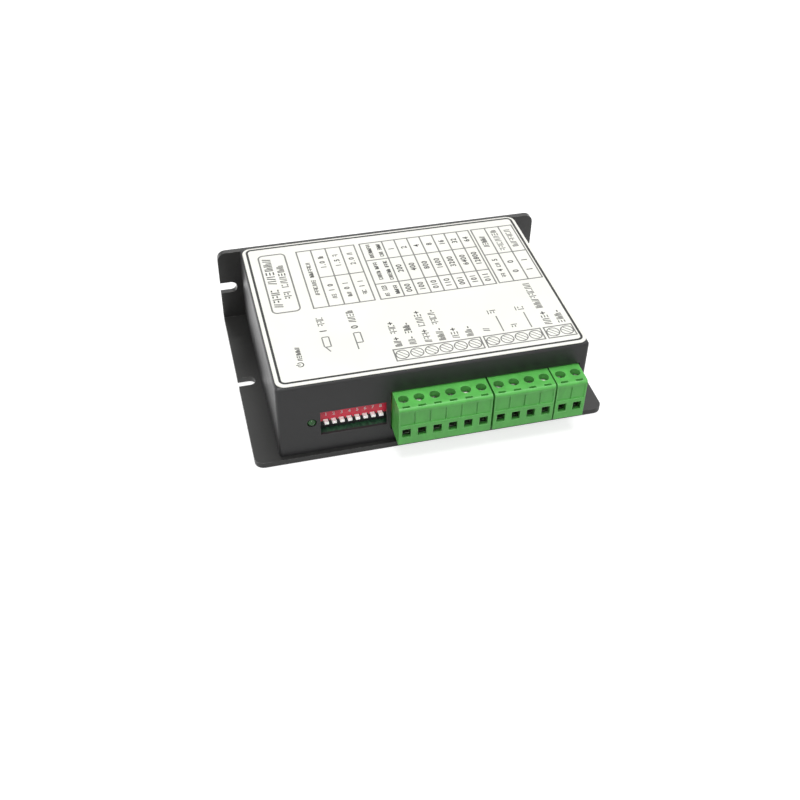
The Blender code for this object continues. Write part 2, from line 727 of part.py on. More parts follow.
# -------------------------------------------------- driver chip on the upright
CHIP_HALF_W = 17.5
CHIP_FRONT, CHIP_BACK = 33.4, 37.7
CHIP_NOTCH_R = 1.7
CHIP_NOTCH_HALF_H = 1.69
CHIP_NOTCH_Y = (32.0, 39.0)
CHIP_LEG_Y = (35.0, 35.5)
PAD_BOUNDS = (-14.4, 14.4, 37.78, 38.17, 12.4, 27.1)
CHIP_SCREW_PROFILE = (   # radius, height from the underside of the head
    (0.0, 1.9), (2.2, 1.9), (2.75, 1.3), (2.75, 0.0), (1.45, 0.0), (1.45, -6.3), (0.0, -6.3),
)
CHIP_RECESS_FRONT = 30.5
CHIP_RECESS = (          # half size in X, half size in Z, back end in Y
    (0.35, 1.6, 32.3),
    (1.6, 0.35, 32.31),
)


def driver_chip():
    shape = boxes((-CHIP_HALF_W, CHIP_HALF_W, CHIP_FRONT, CHIP_BACK, CHIP_LOW, CHIP_HIGH))
    bevel_edges(shape, lambda a, b: max(a.y, b.y) < CHIP_FRONT + NEAR, 0.4, 1)
    chip = piece("driver_chip", shape, "black_plastic")
    # a screw notch in each end: round inside, open outwards
    centres = [(sign * CHIP_SCREW_X, 0, CHIP_SCREW_Z) for _, sign in SIDES]
    cut(chip, "notch_round", cylinders(centres, *CHIP_NOTCH_Y, CHIP_NOTCH_R, 16, axis="Y"))
    notches = [
        (
            *beside(0, sign, CHIP_SCREW_X, CHIP_HALF_W + OVER),
            *CHIP_NOTCH_Y,
            *around(CHIP_SCREW_Z, CHIP_NOTCH_HALF_H),
        )
        for _, sign in SIDES
    ]
    cut(chip, "notch_open", boxes(*notches))
    leg_z = (BOARD_TOP + SEAT, CHIP_LOW + 0.3)
    legs = [(*around(x, 0.3), *CHIP_LEG_Y, *leg_z) for x in row(0, LEAD_PITCH, 12)]
    join(chip, "legs", boxes(*legs))


def thermal_pad():
    piece("thermal_pad", boxes(PAD_BOUNDS), "thermal_pad")


def chip_screws():
    for side, sign in SIDES:
        x = sign * CHIP_SCREW_X
        screw = turned(
            f"chip_screw_{side}", CHIP_SCREW_PROFILE, "zinc_screw",
            (x, CHIP_FRONT - GAP, CHIP_SCREW_Z), 16, to_front=True,
        )
        for half_x, half_z, back in CHIP_RECESS:
            z_span = around(CHIP_SCREW_Z, half_z)
            bar = (*around(x, half_x), CHIP_RECESS_FRONT, back, *z_span)
            cut(screw, "recess", boxes(bar))


# ------------------------------------------------------- parts on the board
CAPACITOR_X, CAPACITOR_Y = 33.0, 10.0
CAPACITOR_PROFILE = (    # radius, height
    (0.0, 26.2), (5.6, 26.2), (6.25, 25.5), (6.25, 11.4), (5.95, 10.9),
    (6.25, 10.4), (6.25, BOARD_TOP + GAP), (0.0, BOARD_TOP + GAP),
)
LOGIC_X, LOGIC_HALF_W, LOGIC_HALF_D = -19.5, 7.5, 4.0
LOGIC_LOW, LOGIC_TOP = BOARD_TOP + 0.25, BOARD_TOP + 2.4
LOGIC_PITCH = 1.8
OPTO_Y, OPTO_HALF_W, OPTO_HALF_D = -12.0, 4.2, 3.2
OPTO_LOW, OPTO_TOP = BOARD_TOP + 0.5, BOARD_TOP + 4.0
OPTO_X = row(4.0, 12.0, 3)
BODY_CHAMFER = 0.3


def bulk_capacitor():
    centre = (CAPACITOR_X, CAPACITOR_Y, 0)
    turned("bulk_capacitor", CAPACITOR_PROFILE, "capacitor_sleeve", centre, 24)


def leaded_chip(name, bounds, leads):
    """A black body chamfered round its top, with leads joined on."""
    shape = boxes(bounds)
    bevel_edges(shape, top_rim(bounds[-1]), BODY_CHAMFER, 1)
    join(piece(name, shape, "black_plastic"), "leads", boxes(*leads))


def logic_chip():
    lead_z = (BOARD_TOP + SEAT, BOARD_TOP + 0.55)
    leads = [
        (*around(x, 0.25), *beside(0, sign, 3.6, 5.2), *lead_z)
        for x in row(LOGIC_X, LOGIC_PITCH, 8)
        for _, sign in SIDES
    ]
    plan = (*around(LOGIC_X, LOGIC_HALF_W), *around(0, LOGIC_HALF_D))
    leaded_chip("logic_chip", (*plan, LOGIC_LOW, LOGIC_TOP), leads)


def optocouplers():
    lead_z = (BOARD_TOP + SEAT, BOARD_TOP + 1.6)
    for i, middle in enumerate(OPTO_X, 1):
        leads = [
            (*around(x, 0.3), *beside(OPTO_Y, sign, 2.9, 3.7), *lead_z)
            for x in row(middle, LEAD_PITCH, 3)
            for _, sign in SIDES
        ]
        plan = (*around(middle, OPTO_HALF_W), *around(OPTO_Y, OPTO_HALF_D))
        leaded_chip(f"optocoupler_{i}", (*plan, OPTO_LOW, OPTO_TOP), leads)


# --------------------------------------------------------------- cover screws
COVER_SCREW_PROFILE = (  # radius, height
    (0.0, 4.6), (1.2, 4.6), (1.45, 4.35), (1.45, 1.25), (2.75, 0.05), (0.0, 0.05),
)
COVER_RECESS = ((1.5, 0.3), (0.301, 1.501))  # half sizes in X and Y
COVER_RECESS_Z = (-0.5, 0.85)


def cover_screws():
    for (side, _), (x, y) in zip(SIDES, COVER_SCREWS):
        screw = turned(
            f"cover_screw_{side}", COVER_SCREW_PROFILE, "black_screw", (x, y, 0), 16
        )
        for half_x, half_y in COVER_RECESS:
            bar = (*around(x, half_x), *around(y, half_y), *COVER_RECESS_Z)
            cut(screw, "recess", boxes(bar))


base_bracket()
cover_part()
top_label()
circuit_board()
board_posts()
power_led()
dip_base()
dip_cover()
dip_levers()
terminals()
driver_chip()
thermal_pad()
chip_screws()
bulk_capacitor()
logic_chip()
optocouplers()
cover_screws()
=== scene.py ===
"""Looks of the stepper driver module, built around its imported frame.

Lengths in this script are millimetres in the frame of the part (+X along the
terminals, +Y to the upright, +Z up); MM converts them. Every new piece keeps its
place in its vertices, so one procedural texture runs over all of them. The stage
(floor, lights and camera) is in metres.
"""

import math
from functools import cache
from itertools import count

import bmesh
import bpy
from mathutils import Matrix, Vector

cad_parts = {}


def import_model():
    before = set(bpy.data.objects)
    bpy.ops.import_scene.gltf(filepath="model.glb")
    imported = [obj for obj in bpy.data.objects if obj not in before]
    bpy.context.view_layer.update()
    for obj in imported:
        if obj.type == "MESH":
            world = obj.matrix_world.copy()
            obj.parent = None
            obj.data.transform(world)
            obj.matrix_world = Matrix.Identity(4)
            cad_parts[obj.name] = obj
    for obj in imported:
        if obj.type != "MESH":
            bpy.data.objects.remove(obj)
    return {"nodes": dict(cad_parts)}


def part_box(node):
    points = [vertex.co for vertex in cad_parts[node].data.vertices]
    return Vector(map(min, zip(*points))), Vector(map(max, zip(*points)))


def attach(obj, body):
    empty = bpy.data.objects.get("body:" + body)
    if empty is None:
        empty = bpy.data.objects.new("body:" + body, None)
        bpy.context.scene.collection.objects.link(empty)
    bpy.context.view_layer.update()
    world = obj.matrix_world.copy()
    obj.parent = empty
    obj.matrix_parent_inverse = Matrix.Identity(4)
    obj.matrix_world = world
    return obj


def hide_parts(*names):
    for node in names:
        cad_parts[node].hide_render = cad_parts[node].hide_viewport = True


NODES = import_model()["nodes"]
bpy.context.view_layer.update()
MM = 0.001
scene = bpy.context.scene


def box_mm(node):
    """Lowest and highest corner of a CAD node, in millimetres."""
    low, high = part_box(node)
    return low / MM, high / MM


def middle_x(node):
    low, high = box_mm(node)
    return (low.x + high.x) / 2


def numbered(stem, last):
    return [f"{stem}_{k}" for k in range(1, last + 1)]


# ---------------------------------------------------------------------------
# materials
# ---------------------------------------------------------------------------
def rgb(red, green, blue):
    """A colour given as 0-255 screen values, as the linear value that nodes take."""

    def linear(level):
        level /= 255.0
        return level / 12.92 if level <= 0.04045 else ((level + 0.055) / 1.055) ** 2.4

    return (linear(red), linear(green), linear(blue), 1.0)


def shade(colour, factor):
    return tuple(min(1.0, level * factor) for level in colour[:3]) + (1.0,)


def fill(node, **values):
    """Sets unlinked inputs; an underscore in a key stands for a space."""
    for key, value in values.items():
        node.inputs[key.replace("_", " ")].default_value = value


class Finish:
    """A material written node by node. Sizes are in millimetres."""

    def __init__(self, name):
        self.material = bpy.data.materials.new(name)
        self.material.use_nodes = True
        self.tree = self.material.node_tree
        self.tree.nodes.clear()
        output = self.add("ShaderNodeOutputMaterial")
        self.shader = self.add("ShaderNodeBsdfPrincipled")
        self.tree.links.new(self.shader.outputs[0], output.inputs["Surface"])
        self.coordinates = self.add("ShaderNodeTexCoord")
        scaled = self.vector_math("SCALE", self.coordinates.outputs["Object"])
        fill(scaled, Scale=1.0 / MM)
        self.mm = scaled.outputs[0]

    def add(self, kind, **settings):
        node = self.tree.nodes.new(kind)
        for key, value in settings.items():
            setattr(node, key, value)
        return node

    def feed(self, socket, value):
        if isinstance(value, bpy.types.NodeSocket):
            self.tree.links.new(value, socket)
        else:
            socket.default_value = value

    def set(self, **inputs):
        """Feeds the shader; an underscore in a key stands for a space."""
        for key, value in inputs.items():
            self.feed(self.shader.inputs[key.replace("_", " ")], value)

    def vector_math(self, operation, first, second=None):
        node = self.add("ShaderNodeVectorMath", operation=operation)
        self.feed(node.inputs[0], first)
        if second is not None:
            self.feed(node.inputs[1], second)
        return node

    def stretched(self, x, y, z):
        """Coordinates whose features are stretched by these factors along each axis."""
        return self.vector_math("MULTIPLY", self.mm, (1.0 / x, 1.0 / y, 1.0 / z)).outputs[0]

    def component(self, index):
        """One coordinate in millimetres."""
        node = self.add("ShaderNodeSeparateXYZ")
        self.feed(node.inputs[0], self.mm)
        return node.outputs[index]

    def noise(self, size, detail=2.0, roughness=0.5, distortion=0.0, vector=None):
        node = self.add("ShaderNodeTexNoise")
        self.feed(node.inputs["Vector"], vector or self.mm)
        fill(node, Scale=1.0 / size, Detail=detail, Roughness=roughness, Distortion=distortion)
        return node.outputs["Fac"]

    def cells(self, size, feature, vector=None):
        node = self.add("ShaderNodeTexVoronoi", feature=feature)
        self.feed(node.inputs["Vector"], vector or self.mm)
        fill(node, Scale=1.0 / size)
        return node.outputs["Distance"]

    def remap(self, value, over, to=(0.0, 1.0)):
        """Values between the pair "over" become the pair "to", held at the ends."""
        node = self.add("ShaderNodeMapRange")
        self.feed(node.inputs["Value"], value)
        fill(node, From_Min=over[0], From_Max=over[1], To_Min=to[0], To_Max=to[1])
        return node.outputs[0]

    def math(self, operation, first, second=0.0):
        node = self.add("ShaderNodeMath", operation=operation)
        self.feed(node.inputs[0], first)
        self.feed(node.inputs[1], second)
        return node.outputs[0]

    def times(self, first, second):
        return self.math("MULTIPLY", first, second)

    def plus(self, first, second):
        return self.math("ADD", first, second)

    def wave(self, value, rate):
        """The sine of a value times its rate."""
        return self.math("SINE", self.times(value, rate))

    def weave(self, axes, rate):
        """Crossed waves along two axes; rate is in radians per millimetre."""
        first, second = [self.wave(self.component(axis), rate) for axis in axes]
        return self.times(first, second)

    def mix(self, factor, first, second):
        node = self.add("ShaderNodeMix", data_type="RGBA")
        self.feed(node.inputs[0], factor)
        self.feed(node.inputs[6], first)
        self.feed(node.inputs[7], second)
        return node.outputs[2]

    def blend(self, pattern, first, second, over=(0.35, 0.65), to=(0.0, 1.0)):
        """Mixes two colours by a pattern, remapped first."""
        return self.mix(self.remap(pattern, over, to), first, second)

    def edges(self, radius):
        """1 near convex and concave edges and 0 on flats, found with the Bevel node."""
        rounded_normal = self.add("ShaderNodeBevel", samples=4)
        fill(rounded_normal, Radius=radius * MM)
        geometry = self.add("ShaderNodeNewGeometry")
        dot = self.vector_math(
            "DOT_PRODUCT", rounded_normal.outputs[0], geometry.outputs["Normal"]
        )
        return self.remap(self.math("SUBTRACT", 1.0, dot.outputs["Value"]), over=(0.004, 0.10))

    def bump(self, *layers):
        """Each layer is (height, depth in mm); they add up."""
        normal = None
        for height, depth in layers:
            node = self.add("ShaderNodeBump")
            fill(node, Strength=1.0, Distance=depth * MM)
            self.feed(node.inputs["Height"], height)
            if normal is not None:
                self.feed(node.inputs["Normal"], normal)
            normal = node.outputs[0]
        self.feed(self.shader.inputs["Normal"], normal)


def powder_coat():
    """Black powder coat with a fine orange-peel grain; edges lighter, partly a thinner coat and partly
    a painted highlight.
    """
    mat = Finish("cover_powder_coat")
    base = rgb(33, 33, 34)
    peel = mat.noise(size=0.42, detail=3.0, roughness=0.55)
    grain = mat.cells(size=0.30, feature="SMOOTH_F1")
    cloud = mat.noise(size=16.0, detail=3.0, roughness=0.6)
    speck = mat.remap(mat.noise(size=0.16), over=(0.60, 0.72))
    colour = mat.blend(cloud, shade(base, 0.88), shade(base, 1.14))
    colour = mat.mix(mat.times(speck, 0.30), colour, shade(base, 2.1))
    # edge mask for the lighter edges: partly a thinner coat, partly a painted highlight
    wear_and_highlight = mat.times(
        mat.edges(radius=0.45),
        mat.remap(mat.noise(size=2.2, detail=3.0), over=(0.38, 0.66), to=(0.15, 0.8)),
    )
    colour = mat.mix(mat.times(wear_and_highlight, 0.45), colour, rgb(96, 96, 97))
    rough = mat.plus(
        mat.remap(cloud, over=(0.3, 0.7), to=(0.40, 0.47)),
        mat.remap(peel, over=(0.3, 0.7), to=(-0.03, 0.04)),
    )
    mat.set(Base_Color=colour, Roughness=rough, Metallic=0.0, IOR=1.5)
    mat.bump((peel, 0.016), (grain, 0.010))
    return mat.material


def anodised():
    """Black anodised rolled aluminium: faint rolling lines along X, bare metal on edges that also
    carry a painted highlight.
    """
    mat = Finish("bracket_black_anodised")
    base = rgb(32, 32, 31)
    along_x = mat.stretched(x=26.0, y=1.0, z=1.0)
    lines = mat.noise(size=0.16, detail=3.0, roughness=0.6, vector=along_x)
    cloud = mat.noise(size=20.0, detail=3.0, roughness=0.55)
    fine = mat.noise(size=0.22)
    colour = mat.blend(cloud, shade(base, 0.85), shade(base, 1.2))
    colour = mat.blend(lines, colour, shade(base, 1.8), over=(0.42, 0.62), to=(0.0, 0.30))
    # edge mask for bare metal: partly wear, partly a painted highlight
    wear_and_highlight = mat.times(
        mat.edges(radius=0.35),
        mat.remap(mat.noise(size=1.6, detail=4.0), over=(0.42, 0.66), to=(0.05, 1.0)),
    )
    colour = mat.mix(mat.times(wear_and_highlight, 0.6), colour, rgb(128, 128, 126))
    rough = mat.plus(
        mat.remap(lines, over=(0.3, 0.7), to=(0.34, 0.46)),
        mat.remap(cloud, over=(0.3, 0.7), to=(-0.03, 0.04)),
    )
    mat.set(Base_Color=colour, Roughness=rough, Metallic=mat.times(wear_and_highlight, 0.5), IOR=1.5)
    mat.bump((lines, 0.004), (fine, 0.006))
    return mat.material


def label_film():
    """Satin white self-adhesive film, very slightly uneven and dusty toward its edges."""
    mat = Finish("label_satin_film")
    cloud = mat.noise(size=24.0, detail=3.0)
    fibre = mat.noise(size=0.5, detail=3.0, roughness=0.6)
    colour = mat.blend(cloud, rgb(229, 229, 221), rgb(233, 233, 226))
    colour = mat.mix(mat.times(mat.edges(radius=0.5), 0.35), colour, rgb(205, 205, 198))
    rough = mat.plus(
        mat.remap(cloud, over=(0.3, 0.7), to=(0.36, 0.44)),
        mat.remap(fibre, over=(0.3, 0.7), to=(-0.02, 0.03)),
    )
    mat.set(Base_Color=colour, Roughness=rough, IOR=1.46)
    mat.bump((fibre, 0.003), (cloud, 0.05))
    return mat.material


def printed_ink(name, colour):
    """Screen-printed ink: small density changes and a soft sheen."""
    mat = Finish(name)
    density = mat.noise(size=0.35, detail=3.0, roughness=0.6)
    mat.set(
        Base_Color=mat.blend(density, shade(colour, 0.85), shade(colour, 1.35), over=(0.35, 0.7)),
        Roughness=mat.remap(density, over=(0.3, 0.7), to=(0.42, 0.58)),
        IOR=1.45,
    )
    mat.bump((density, 0.003))
    return mat.material


def moulded(
    name, colour, rough, grain=0.16, depth=0.006, sheen=0.0, flow=0.10, bleed=0.0, glow=0.0, rub_and_highlight=0.35
):
    """Moulded plastic: tool grain (size and depth), weak flow marks, lighter edges that are partly
    rubbed wear and partly a painted highlight.

    bleed is the subsurface share and glow the emission strength, which paints light onto a part that
    is no lamp.
    """
    mat = Finish(name)
    tool = mat.noise(size=grain, detail=3.0, roughness=0.6)
    marks = mat.noise(
        size=5.0,
        detail=3.0,
        roughness=0.55,
        distortion=0.6,
        vector=mat.stretched(x=1.0, y=1.0, z=2.5),
    )
    streaked = mat.blend(marks, shade(colour, 1.0 - flow), shade(colour, 1.0 + flow))
    # light is the colour of the lighter edges: partly rubbed wear, partly a painted highlight
    light = tuple(level + (1.0 - level) * 0.22 for level in colour[:3]) + (1.0,)
    mat.set(
        Base_Color=mat.mix(mat.times(mat.edges(radius=0.25), rub_and_highlight), streaked, light),
        Roughness=mat.plus(
            mat.remap(marks, over=(0.3, 0.7), to=(rough - 0.05, rough + 0.05)),
            mat.remap(tool, over=(0.3, 0.7), to=(-0.03, 0.03)),
        ),
        IOR=1.53,
        Coat_Weight=sheen,
        Coat_Roughness=0.25,
    )
    # glow is painted light: emission that brightens a part that is no lamp
    if glow:
        mat.set(Emission_Color=colour, Emission_Strength=glow)
    if bleed:
        mat.set(
            Subsurface_Weight=bleed,
            Subsurface_Scale=0.0006,
            Subsurface_Radius=(0.6, 1.0, 0.5),
        )
    mat.bump((tool, depth), (marks, 0.02))
    return mat.material


def turned_metal(name, colour, rough, ring=0.12, tarnish=None):
    """Turned or plated metal with rings round the piece's own middle and small scratches."""
    mat = Finish(name)
    middle = mat.vector_math("SUBTRACT", mat.coordinates.outputs["Generated"], (0.5, 0.5, 0.0))
    flat = mat.vector_math("MULTIPLY", middle.outputs[0], (1.0, 1.0, 0.0))
    radius = mat.vector_math("LENGTH", flat.outputs[0])
    wobble = mat.plus(mat.times(radius.outputs["Value"], 3.5 / ring), mat.noise(size=1.3))
    rings = mat.wave(wobble, rate=6.2832)
    along_y = mat.stretched(x=1.0, y=7.0, z=1.0)
    scratch = mat.noise(size=0.10, detail=3.0, roughness=0.7, vector=along_y)
    cloud = mat.noise(size=1.8, detail=3.0, roughness=0.6)
    dull = tarnish or shade(colour, 0.72)
    mat.set(
        Base_Color=mat.blend(cloud, colour, dull, over=(0.38, 0.68), to=(0.0, 0.8)),
        Metallic=1.0,
        Roughness=mat.plus(
            mat.remap(rings, over=(-1.0, 1.0), to=(rough - 0.05, rough + 0.06)),
            mat.remap(scratch, over=(0.4, 0.7), to=(0.0, 0.10)),
        ),
    )
    mat.bump((rings, 0.003), (scratch, 0.003))
    return mat.material


def solder_mask():
    """Green board: glass weave under a glossy mask, with raised tracks of a lighter green."""
    mat = Finish("board_solder_mask")
    base = rgb(28, 66, 46)
    weave = mat.weave(axes=(0, 1), rate=9.0)
    along_y = mat.stretched(x=1.0, y=2.6, z=1.0)
    grid = mat.cells(size=2.2, feature="DISTANCE_TO_EDGE", vector=along_y)
    track = mat.remap(grid, over=(0.05, 0.09), to=(1.0, 0.0))
    cloud = mat.noise(size=9.0)
    colour = mat.blend(cloud, shade(base, 0.85), shade(base, 1.15))
    colour = mat.mix(mat.times(track, 0.5), colour, rgb(52, 104, 70))
    mat.set(
        Base_Color=colour,
        Roughness=mat.remap(cloud, over=(0.3, 0.7), to=(0.28, 0.40)),
        Coat_Weight=0.4,
        Coat_Roughness=0.18,
        IOR=1.5,
    )
    mat.bump((track, 0.02), (weave, 0.003))
    return mat.material


def lens():
    """Tinted clear lamp body, unlit."""
    mat = Finish("lamp_tinted_lens")
    swirl = mat.noise(size=0.9)
    mat.set(
        Base_Color=mat.blend(swirl, rgb(32, 88, 36), rgb(46, 108, 48)),
        Roughness=mat.remap(swirl, over=(0.3, 0.7), to=(0.10, 0.20)),
        Transmission_Weight=0.35,
        IOR=1.5,
    )
    mat.bump((swirl, 0.004))
    return mat.material


def fabric_pad():
    """Grey silicone pad with its glass-cloth print."""
    mat = Finish("thermal_pad_silicone")
    weave = mat.weave(axes=(0, 2), rate=12.0)
    mat.set(
        Base_Color=mat.blend(weave, rgb(150, 152, 160), rgb(170, 172, 180), over=(-1.0, 1.0)),
        Roughness=mat.remap(weave, over=(-1.0, 1.0), to=(0.78, 0.9)),
    )
    mat.bump((weave, 0.01))
    return mat.material


COVER = powder_coat()
BRACKET = anodised()
FILM = label_film()
INK = printed_ink("ink_black", rgb(38, 38, 38))
INK_THIN = printed_ink("ink_fine_print", rgb(74, 74, 72))
INK_RULE = printed_ink("ink_rules", rgb(112, 112, 110))
INK_WHITE = printed_ink("ink_white", rgb(236, 206, 210))
# the plugs' edges get a stronger painted highlight, partly rubbed wear
GREEN = moulded(
    "plug_green_plastic", rgb(88, 178, 80), rough=0.40, bleed=0.06, sheen=0.06, rub_and_highlight=0.55
)
GREEN_DARK = moulded("header_green_plastic", rgb(72, 160, 68), rough=0.42)
# the red cover's glow is painted light, lifting it inside its shaded window
RED = moulded("switch_red_plastic", rgb(226, 50, 76), rough=0.36, sheen=0.12, glow=0.05)
BLACK = moulded("black_plastic", rgb(34, 34, 36), rough=0.48, grain=0.14, depth=0.008, flow=0.15)
# the levers' glow is painted light: it brightens their tops, which the window head shades
WHITE = moulded(
    "lever_white_plastic", rgb(252, 249, 246), rough=0.36, flow=0.01, bleed=0.30, glow=0.32
)
NICKEL = turned_metal("screw_nickel", rgb(168, 168, 160), rough=0.34, tarnish=rgb(112, 114, 106))
STEEL = turned_metal("cage_plated_steel", rgb(190, 188, 180), rough=0.32, ring=0.5)
ZINC = turned_metal("zinc_screw", rgb(188, 190, 194), rough=0.30)
BLACK_STEEL = turned_metal(
    "blackened_screw", rgb(58, 57, 57), rough=0.38, ring=0.2, tarnish=rgb(40, 38, 37)
)
BRASS = turned_metal(
    "brass_post", rgb(206, 176, 110), rough=0.30, ring=0.3, tarnish=rgb(150, 118, 66)
)
BOARD = solder_mask()
LENS = lens()
PAD = fabric_pad()
SLEEVE = moulded(
    "capacitor_sleeve", rgb(34, 38, 60), rough=0.34, grain=0.4, depth=0.003, sheen=0.2
)


# ---------------------------------------------------------------------------
# rounded edges, and the finishes of the CAD pieces
# ---------------------------------------------------------------------------
def soften(piece, width, segments=2, angle=30.0):
    """Rounds edges sharper than the angle; returns the bevel and the normals modifier."""
    bevel = piece.modifiers.new("edges", "BEVEL")
    bevel.width = width * MM
    bevel.segments = segments
    bevel.limit_method = "ANGLE"
    bevel.angle_limit = math.radians(angle)
    bevel.use_clamp_overlap = True
    normals = piece.modifiers.new("normals", "WEIGHTED_NORMAL")
    normals.mode = "FACE_AREA"
    normals.weight = 80
    return bevel, normals


def dress(names, finish, edge, segments=2, merge=0.001):
    """Gives CAD pieces a finish, whole flats and rounded edges."""
    for name in names:
        piece = NODES[name]
        mesh = piece.data
        if "custom_normal" in mesh.attributes:
            mesh.attributes.remove(mesh.attributes["custom_normal"])
        mesh.materials.clear()
        mesh.materials.append(finish)
        mesh.shade_smooth()
        weld = piece.modifiers.new("weld", "WELD")
        weld.merge_threshold = merge * MM
        flats = piece.modifiers.new("flats", "DECIMATE")
        flats.decimate_type = "DISSOLVE"
        flats.angle_limit = math.radians(0.5)
        bevel, normals = soften(piece, edge, segments)
        bevel.miter_outer = "MITER_SHARP"
        normals.keep_sharp = True


dress(["base_bracket"], BRACKET, edge=0.30, segments=3)
dress(["cover"], COVER, edge=0.18)
dress(["top_label"], FILM, edge=0.07)
dress(["circuit_board"], BOARD, edge=0.10)
dress(["dip_base"], BLACK, edge=0.10)
dress(["dip_cover"], RED, edge=0.14)
dress(["driver_chip"], BLACK, edge=0.12)
dress(["thermal_pad"], PAD, edge=0.08)
dress(["bulk_capacitor"], SLEEVE, edge=0.25)
dress(["logic_chip"], BLACK, edge=0.06)
dress(numbered("optocoupler", 3), BLACK, edge=0.08)
dress(numbered("board_post", 4), BRASS, edge=0.10)
dress(["header_6p", "header_4p", "header_2p"], GREEN_DARK, edge=0.14)
dress(["plug_6p", "plug_4p", "plug_2p"], GREEN, edge=0.16, merge=0.02)
dress(numbered("clamp_cage", 12), STEEL, edge=0.10)
dress(["chip_screw_left", "chip_screw_right"], ZINC, edge=0.10)
dress(["cover_screw_left", "cover_screw_right"], BLACK_STEEL, edge=0.08)


# ---------------------------------------------------------------------------
# helpers for new pieces
# ---------------------------------------------------------------------------
def new_piece(name, shape, finish, body, smooth=True):
    """Makes an object of a mesh given in millimetres in the frame of the part."""
    bmesh.ops.scale(shape, vec=(MM, MM, MM), verts=shape.verts)
    bmesh.ops.recalc_face_normals(shape, faces=shape.faces)
    mesh = bpy.data.meshes.new(name)
    shape.to_mesh(mesh)
    shape.free()
    if smooth:
        mesh.shade_smooth()
    mesh.materials.append(finish)
    piece = bpy.data.objects.new(name, mesh)
    scene.collection.objects.link(piece)
    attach(piece, body)
    return piece


def arc_points(x, y, radius, angles):
    """Points round a centre; the angles are in radians."""
    return [(x + radius * math.cos(turn), y + radius * math.sin(turn)) for turn in angles]


def full_turn(sides):
    return [2 * math.pi * i / sides for i in range(sides)]


def wall(shape, first, second, closed=True):
    """Quads between two rows of points, each face starting along the first row."""
    size = len(first)
    for i in range(size if closed else size - 1):
        j = (i + 1) % size
        shape.faces.new((first[i], first[j], second[j], second[i]))


def skin(shape, first, second):
    """Faces between two rings, starting across them; a ring of one point is a tip."""
    sides = max(len(first), len(second))
    for i in range(sides):
        j = (i + 1) % sides
        if len(first) == 1:
            shape.faces.new((first[0], second[i], second[j]))
        elif len(second) == 1:
            shape.faces.new((first[i], second[0], first[j]))
        else:
            shape.faces.new((first[i], second[i], second[j], first[j]))


def revolve(profile, sides):
    """A closed solid turned about Z, from (radius, height) pairs that start and end on it."""
    shape = bmesh.new()
    rings = []
    for radius, height in profile:
        if radius < 1e-6:
            rings.append([shape.verts.new((0.0, 0.0, height))])
        else:
            outline = arc_points(0.0, 0.0, radius, full_turn(sides))
            rings.append([shape.verts.new((x, y, height)) for x, y in outline])
    for first, second in zip(rings, rings[1:]):
        skin(shape, first, second)
    return shape


def block(x_span, y_span, z_span):
    """A box between a low and a high value along each axis."""
    shape = bmesh.new()
    spans = (x_span, y_span, z_span)
    bmesh.ops.create_cube(
        shape,
        size=1.0,
        matrix=Matrix.Translation([(low + high) / 2 for low, high in spans])
        @ Matrix.Diagonal([high - low for low, high in spans] + [1.0]),
    )
    return shape


# ---------------------------------------------------------------------------
# ink shapes for the top label
# ---------------------------------------------------------------------------
LABEL_TOP = box_mm("top_label")[1].z
INK_LOW = LABEL_TOP - 0.03
INK_HIGH = LABEL_TOP + 0.035


def band(shape, outer, inner, closed=True):
    """The solid strip between two lines with the same number of points."""
    rows = [
        [shape.verts.new((x, y, z)) for x, y in line]
        for z, line in ((INK_LOW, outer), (INK_HIGH, outer), (INK_HIGH, inner), (INK_LOW, inner))
    ]
    for first, second in zip(rows, rows[1:] + rows[:1]):
        wall(shape, first, second, closed)
    if not closed:
        for end in (0, -1):
            shape.faces.new([row[end] for row in rows])


def rounded(x_low, x_high, y_low, y_high, radius, steps=5):
    """The outline of a rectangle with round corners."""
    right, left = x_high - radius, x_low + radius
    top, bottom = y_high - radius, y_low + radius
    points = []
    for x, y, start in ((right, top, 0), (left, top, 90), (left, bottom, 180), (right, bottom, 270)):
        angles = [math.radians(start + 90 * i / steps) for i in range(steps + 1)]
        points += arc_points(x, y, radius, angles)
    return points


def round_frame(shape, x_span, y_span, radius, pen):
    half = pen / 2
    (x_low, x_high), (y_low, y_high) = x_span, y_span
    band(
        shape,
        rounded(x_low - half, x_high + half, y_low - half, y_high + half, radius + half),
        rounded(
            x_low + half, x_high - half, y_low + half, y_high - half, max(0.05, radius - half)
        ),
    )


def arc_stroke(shape, x, y, radius, pen, angles, closed):
    """A curved line of ink round a centre."""
    outer = arc_points(x, y, radius + pen / 2, angles)
    inner = arc_points(x, y, radius - pen / 2, angles)
    band(shape, outer, inner, closed)


def stroke(shape, x_start, y_start, x_end, y_end, pen, lift=0.0):
    """A straight line of ink between two points. lift raises its top face."""
    along = Vector((x_end - x_start, y_end - y_start)).normalized() * (pen / 2)
    side = Vector((-along.y, along.x))
    outline = (
        (x_start - side.x, y_start - side.y),
        (x_end - side.x, y_end - side.y),
        (x_end + side.x, y_end + side.y),
        (x_start + side.x, y_start + side.y),
    )
    bottom = [shape.verts.new((x, y, INK_LOW)) for x, y in outline]
    top = [shape.verts.new((x, y, INK_HIGH + lift)) for x, y in outline]
    shape.faces.new(top)
    shape.faces.new(bottom[::-1])
    wall(shape, bottom, top)


